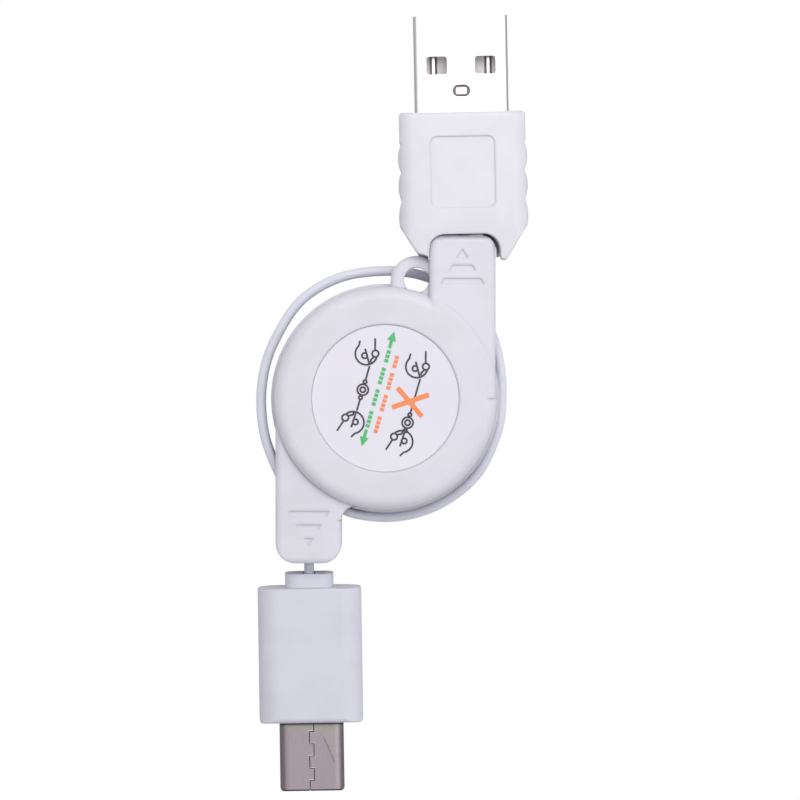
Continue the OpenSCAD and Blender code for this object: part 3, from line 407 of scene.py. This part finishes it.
def label_film(tone):
    """Glossy film with a faint painted sheen, a bluer tint that drifts across it."""
    finish = new_finish("label_film")
    drift = finish.noise(finish.place((14 * MM, 20 * MM, 10 * MM), 0.3), 1, 1, 0.4)
    ripple = finish.noise(finish.place(), 1 / (2.5 * MM), 2, 0.5)
    # Painted sheen: the film's colour turns bluer in drifting patches
    sheen_tint = (tone[0] * 0.985, tone[1] * 0.965, min(1.0, tone[2] * 1.03))
    return finish.surface({
        "Base Color": finish.blend(finish.ramp(drift, 0.35, 0.65), tone, sheen_tint),
        "Roughness": 0.34 + 0.06 * ripple,
        "Coat Weight": 0.3,
        "Coat Roughness": 0.25,
        "Normal": finish.bump(ripple),
    })


def cord_jacket(name, tone, turns=None):
    """Soft extruded jacket. With turns, grooves between the turns of a wound layer, dark with painted shade.
    """
    finish = new_finish(name)
    everywhere = finish.place()
    cloud = finish.noise(everywhere, 1 / (4 * MM), 2, 0.5)
    height = finish.noise(everywhere, 1 / (0.2 * MM), 2, 0.5)
    base = finish.blend(finish.ramp(cloud, 0.3, 0.7), tone, scaled(tone, 0.96))
    if turns:
        inner, pitch = turns
        east, north, _ = finish.split(everywhere)
        radius = (east * east + north * north).root()
        lane = ((radius - inner) / pitch) % 1.0
        groove_and_shade = finish.ramp((lane - 0.5).absolute(), 0.4, 0.5)
        # Painted shade: the grooves between the turns are darkened
        base = finish.blend(groove_and_shade, base, scaled(tone, 0.35))
        height = height - 8 * groove_and_shade
    return finish.surface({
        "Base Color": base,
        "Roughness": 0.46 + 0.1 * cloud,
        "Normal": finish.bump(height),
    })


def gilded(name, tone):
    """Thin gold plating with dull patches."""
    finish = new_finish(name)
    dull = finish.noise(finish.place(), 1 / (0.5 * MM), 3, 0.6)
    return finish.surface({
        "Base Color": finish.blend(finish.ramp(dull, 0.4, 0.7), tone, scaled(tone, 0.82)),
        "Metallic": 1.0,
        "Roughness": 0.22 + 0.12 * dull,
    })


# Helpers for the pieces


def in_metres(points):
    return [[part * MM for part in point] for point in points]


def dress(material, *nodes):
    """Gives solids their material, in one slot that takes the place of all the slots they had."""
    for node in nodes:
        mesh = NODES[node].data
        mesh.materials.clear()
        mesh.materials.append(material)


def select_only(piece):
    bpy.ops.object.select_all(action="DESELECT")
    piece.select_set(True)
    bpy.context.view_layer.objects.active = piece


def edit(piece, *steps):
    """Runs edit-mode steps on one piece, each a tool and its settings."""
    select_only(piece)
    bpy.ops.object.mode_set(mode="EDIT")
    for tool, settings in steps:
        tool(**settings)
    bpy.ops.object.mode_set(mode="OBJECT")


def mark(piece, kind, test):
    """Selects only the vertices or faces that pass a test."""
    edit(piece, (bpy.ops.mesh.select_mode, {"type": kind}), (bpy.ops.mesh.select_all, {"action": "DESELECT"}))
    for entry in piece.data.vertices if kind == "VERT" else piece.data.polygons:
        entry.select = test(entry)


def smooth_route(points, steps):
    """The smooth curve through a route's points, as the solids follow it."""
    line = []
    last = len(points) - 1
    for index in range(last):
        a = Vector(points[max(index - 1, 0)])
        b = Vector(points[index])
        c = Vector(points[index + 1])
        d = Vector(points[min(index + 2, last)])
        for step in range(steps):
            t = step / steps
            line.append(0.5 * (2 * b + (c - a) * t + (2 * a - 5 * b + 4 * c - d) * t ** 2
                               + (3 * b - a - 3 * c + d) * t ** 3))
    line.append(Vector(points[last]))
    return line


def flat_cord(name, line, sizes, jacket):
    """A flat cord with round edges, standing on its edge along a line, as a mesh."""
    drawing = bpy.data.curves.new(name, "CURVE")
    drawing.dimensions = "3D"
    drawing.twist_mode = "Z_UP"
    drawing.bevel_depth = sizes.cord_thickness / 2
    drawing.extrude = (sizes.cord_width - sizes.cord_thickness) / 2
    drawing.bevel_resolution = 5
    drawing.use_fill_caps = True
    spline = drawing.splines.new("POLY")
    spline.points.add(len(line) - 1)
    for point, place in zip(spline.points, line):
        point.co = (*place, 1)
    piece = bpy.data.objects.new(name, drawing)
    bpy.context.scene.collection.objects.link(piece)
    select_only(piece)
    bpy.ops.object.convert(target="MESH")
    piece = bpy.context.view_layer.objects.active
    edit(piece, (bpy.ops.mesh.select_all, {"action": "SELECT"}),
         (bpy.ops.mesh.remove_doubles, {"threshold": 0.002 * MM}),
         (bpy.ops.mesh.normals_make_consistent, {"inside": False}))
    bpy.ops.object.shade_smooth_by_angle(angle=math.radians(40))
    piece.data.materials.append(jacket)
    return piece


class REELCABLE_OT_stage(bpy.types.Operator):
    """Camera, lamps, floor and surroundings"""

    bl_idname = "reelcable.stage"
    bl_label = "Studio and camera"

    camera_distance: FloatProperty(name="Camera distance", default=0.9, min=0.2, max=5, unit="LENGTH")

    def execute(self, context):
        scene = context.scene
        scene.view_settings.view_transform = "Standard"
        lens = bpy.data.cameras.new("camera")
        lens.sensor_width = SENSOR_WIDTH
        lens.lens = SENSOR_WIDTH * (self.camera_distance - IMAGE_HEIGHT) / scene.reel_sizes.view_width
        camera = bpy.data.objects.new("camera", lens)
        camera.location = (*IMAGE_CENTRE, self.camera_distance)
        scene.collection.objects.link(camera)
        scene.camera = camera
        self.lamp("key", place=(0.04, 0.2, 0.36), size=0.26, power=0.8, tone=(1.0, 0.985, 0.97))
        self.lamp("fill", place=(0.3, -0.08, 0.32), size=0.4, power=0.3, tone=(0.96, 0.97, 1.0))
        self.floor()
        self.world(scene)
        return {"FINISHED"}

    @staticmethod
    def lamp(name, place, size, power, tone):
        """A square lamp that faces the part."""
        light = bpy.data.lights.new(name, "AREA")
        light.size = size
        light.energy = power
        light.color = tone
        lamp = bpy.data.objects.new(name, light)
        lamp.location = place
        lamp.rotation_euler = (-Vector(place)).to_track_quat("-Z", "Y").to_euler()
        lamp.visible_camera = False
        bpy.context.scene.collection.objects.link(lamp)

    @staticmethod
    def floor():
        """Pale paper that the camera sees white, with a painted grey shade only where the part all but
        touches it.
        """
        bpy.ops.object.select_all(action="DESELECT")
        bpy.ops.mesh.primitive_plane_add(size=FLOOR_SIZE, location=FLOOR_CENTRE)
        floor = bpy.context.object
        floor.name = "floor"
        finish = new_finish("floor")
        fibres = finish.noise(finish.place(), 1 / (1.5 * MM), 3, 0.6)
        paper = finish.node("ShaderNodeBsdfDiffuse", None, {
            "Color": finish.blend(0.05 * fibres, (0.86, 0.86, 0.87), (0.8, 0.8, 0.81))})
        shade = finish.node("ShaderNodeEmission", None, {"Color": srgb(96, 94, 106)})
        white = finish.node("ShaderNodeEmission", None, {"Color": (1, 1, 1)})
        mirrored = finish.node("ShaderNodeEmission", None, {"Color": (0.42, 0.39, 0.41)})
        seen = finish.node("ShaderNodeMixShader", None, {
            0: finish.ramp(finish.openness(2.5 * MM, 32), 0.03, 0.15), 1: shade, 2: white})
        finish.node("ShaderNodeOutputMaterial", None, {"Surface": finish.by_ray(seen, paper, mirrored)})
        floor.data.materials.append(finish.owner)

    @staticmethod
    def world(scene):
        """White for the camera, even light for the part, and walls under a bright ceiling for its gloss."""
        scene.world = bpy.data.worlds.new("studio")
        finish = Finish(scene.world)
        soft = finish.node("ShaderNodeBackground", None, {"Color": (0.975, 0.975, 1.0), "Strength": 0.56})
        white = finish.node("ShaderNodeBackground", None, {"Color": (1, 1, 1)})
        height = finish.split(finish.node("ShaderNodeTexCoord"))[2]
        walls = finish.blend(finish.ramp(height, 0.5, 0.8), (0.5, 0.46, 0.48), (1.0, 1.0, 1.0))
        mirrored = finish.node("ShaderNodeBackground", None, {"Color": walls})
        finish.node("ShaderNodeOutputWorld", None, {"Surface": finish.by_ray(white, soft, mirrored)})


class REELCABLE_OT_cord(bpy.types.Operator):
    """The slack turn round the case, the large plug's lead and the wound layers"""

    bl_idname = "reelcable.cord"
    bl_label = "Cord"

    steps: IntProperty(name="Steps", description="Rings between two points of a route",
                       default=5, min=1, max=12)

    def execute(self, context):
        sizes = context.scene.reel_sizes
        tone = context.scene.reel_colours.cord[:]
        jacket = cord_jacket("cord_jacket", tone)
        line = smooth_route(in_metres(SLACK_ROUTE), self.steps)
        slack = flat_cord("slack_turn", line, sizes, jacket)
        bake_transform(slack)
        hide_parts("cord_loop", "cord_lead_c")
        real = sum((b - a).length for a, b in zip(line, line[1:]))
        lead = flat_cord("large_lead", smooth_route(in_metres(LARGE_LEAD_ROUTE), self.steps), sizes, jacket)
        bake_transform(lead)
        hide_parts("cord_lead_a")
        wound = cord_jacket("wound_cord", tone, (HUB_RADIUS, TURN_PITCH))
        dress(wound, "cord_coil_front", "cord_coil_rear")
        return {"FINISHED"}


class REELCABLE_OT_case(bpy.types.Operator):
    """Covers, centre screw, label and its print"""

    bl_idname = "reelcable.case"
    bl_label = "Reel case and label"

    def execute(self, context):
        sizes = context.scene.reel_sizes
        colours = context.scene.reel_colours
        plastic = moulded("case_plastic", colours.case[:], colours.plastic_roughness, sizes, softness=4.0)
        dress(plastic, "front_cover", "rear_cover")
        dress(label_film(colours.label[:]), "front_label")
        dress(printed("ink_green", colours.green[:]), "label_print_green")
        dress(printed("ink_orange", colours.orange[:]), "label_print_orange")
        dress(printed("ink_dark", colours.dark[:]), "label_print_dark")
        dress(plated("screw_steel", colours.grey_steel[:], 0.3), "centre_screw")
        return {"FINISHED"}


class REELCABLE_OT_reel(bpy.types.Operator):
    """Spool, spring cap, mainspring and ratchet ball"""

    bl_idname = "reelcable.reel"
    bl_label = "Spool and spring"

    def execute(self, context):
        sizes = context.scene.reel_sizes
        colours = context.scene.reel_colours
        dress(moulded("spool_plastic", colours.spool[:], 0.5, sizes), "spool")
        dress(plated("spring_steel", scaled(colours.bright_steel, 0.7), 0.25),
              "spring_cap", "mainspring", "ratchet_ball")
        return {"FINISHED"}


class REELCABLE_OT_large_plug(bpy.types.Operator):
    """Overmould, shell, tongue, contacts and wires of the large plug"""

    bl_idname = "reelcable.large_plug"
    bl_label = "Large plug"

    def execute(self, context):
        sizes = context.scene.reel_sizes
        colours = context.scene.reel_colours
        plastic = moulded("large_plug_plastic", colours.large_plug[:], colours.plastic_roughness, sizes,
                          softness=3.0)
        bright = plated("bright_steel", colours.bright_steel[:], 0.16, LARGE_LEAN)
        # The tongue's crevice colour is painted shade in the narrow gaps round the shell's hole and windows
        inner = moulded("tongue_plastic", srgb(253, 247, 251), 0.5, sizes, crevice=srgb(112, 104, 106))
        dress(plastic, "plug_a_overmould")
        self.fork_draft(NODES["plug_a_overmould"])
        dress(bright, "plug_a_shell", "plug_a_contacts")
        dress(inner, "plug_a_tongue", "plug_a_inner_mould")
        dress(moulded("core_wire", srgb(205, 190, 180), 0.5, sizes), "plug_a_wires")
        return {"FINISHED"}

    @staticmethod
    def fork_draft(overmould):
        """Slanted lining of the fork's outer side, drawn from the overmould's own wall."""
        piece = bpy.data.objects.new("fork_draft", overmould.data.copy())
        bpy.context.scene.collection.objects.link(piece)
        turn = TO_LARGE_PLUG.to_3x3()

        def on_wall(face):
            across, along, _ = (TO_LARGE_PLUG @ face.center) / MM
            facing = turn @ face.normal
            within = FORK_ACROSS[0] < across < FORK_ACROSS[1] and FORK_ALONG[0] < along < FORK_ALONG[1]
            return within and abs(facing.z) < 0.1 and facing.x < -0.1

        def low(vertex):
            return (TO_LARGE_PLUG @ vertex.co).z < FORK_LEVEL * MM

        mark(piece, "FACE", on_wall)
        edit(piece, (bpy.ops.mesh.select_all, {"action": "INVERT"}), (bpy.ops.mesh.delete, {"type": "FACE"}),
             (bpy.ops.mesh.select_all, {"action": "SELECT"}),
             (bpy.ops.mesh.remove_doubles, {"threshold": 0.01 * MM}))
        rim = {vertex.index for vertex in piece.data.vertices if not low(vertex)}
        mark(piece, "VERT", low)
        lean = [part * MM for part in FORK_LEAN]
        edit(piece, (bpy.ops.mesh.extrude_edges_move, {"TRANSFORM_OT_translate": {"value": lean}}))
        for vertex in piece.data.vertices:
            vertex.select = vertex.select or vertex.index in rim
        edit(piece, (bpy.ops.mesh.bridge_edge_loops, {}), (bpy.ops.mesh.select_all, {"action": "SELECT"}),
             (bpy.ops.mesh.fill_holes, {"sides": 6}),
             (bpy.ops.mesh.normals_make_consistent, {"inside": False}))
        bpy.ops.object.shade_smooth_by_angle(angle=math.radians(30))
        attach(piece, "plug_a")


class REELCABLE_OT_small_plug(bpy.types.Operator):
    """Collar, overmould, shell, insulator, contacts and board of the small plug"""

    bl_idname = "reelcable.small_plug"
    bl_label = "Small plug"

    def execute(self, context):
        sizes = context.scene.reel_sizes
        colours = context.scene.reel_colours
        plastic = moulded("small_plug_plastic", colours.small_plug[:], colours.plastic_roughness, sizes,
                          softness=2.0)
        dress(plastic, "plug_c_overmould", "plug_c_collar")
        dress(worn_steel("grey_steel", colours.grey_steel[:], colours.bright_steel[:]), "plug_c_shell")
        dress(moulded("insulator_plastic", srgb(38, 37, 40), 0.5, sizes), "plug_c_insulator")
        dress(gilded("pin_gold", colours.gold[:]), "plug_c_contacts_top", "plug_c_contacts_bottom")
        dress(plated("latch_steel", colours.bright_steel[:], 0.25), "plug_c_latch_plate")
        dress(moulded("board_green", srgb(38, 92, 60), 0.35, sizes), "plug_c_board")
        dress(moulded("resistor_black", srgb(30, 30, 32), 0.4, sizes), "plug_c_resistor")
        dress(moulded("small_core_wire", srgb(200, 60, 50), 0.5, sizes), "plug_c_wires")
        return {"FINISHED"}


OPERATORS = (
    REELCABLE_OT_stage,
    REELCABLE_OT_cord,
    REELCABLE_OT_case,
    REELCABLE_OT_reel,
    REELCABLE_OT_large_plug,
    REELCABLE_OT_small_plug,
)


class REELCABLE_PT_panel(bpy.types.Panel):
    """Lists the pieces, sizes and colours"""

    bl_idname = "REELCABLE_PT_panel"
    bl_label = "Reel Cable"
    bl_space_type = "VIEW_3D"
    bl_region_type = "UI"
    bl_category = "Reel Cable"

    def draw(self, context):
        layout = self.layout
        for operator in OPERATORS:
            layout.operator(operator.bl_idname)
        for group in (context.scene.reel_sizes, context.scene.reel_colours):
            box = layout.box()
            for name in group.__annotations__:
                box.prop(group, name)


CLASSES = (ReelCableSizes, ReelCableColours, *OPERATORS, REELCABLE_PT_panel)


def register():
    for entry in CLASSES:
        bpy.utils.register_class(entry)
    bpy.types.Scene.reel_sizes = PointerProperty(type=ReelCableSizes)
    bpy.types.Scene.reel_colours = PointerProperty(type=ReelCableColours)


def unregister():
    del bpy.types.Scene.reel_colours
    del bpy.types.Scene.reel_sizes
    for entry in reversed(CLASSES):
        bpy.utils.unregister_class(entry)


def main():
    register()
    bpy.ops.reelcable.stage()
    bpy.ops.reelcable.cord()
    bpy.ops.reelcable.case()
    bpy.ops.reelcable.reel()
    bpy.ops.reelcable.large_plug()
    bpy.ops.reelcable.small_plug()


if __name__ == "__main__":
    main()
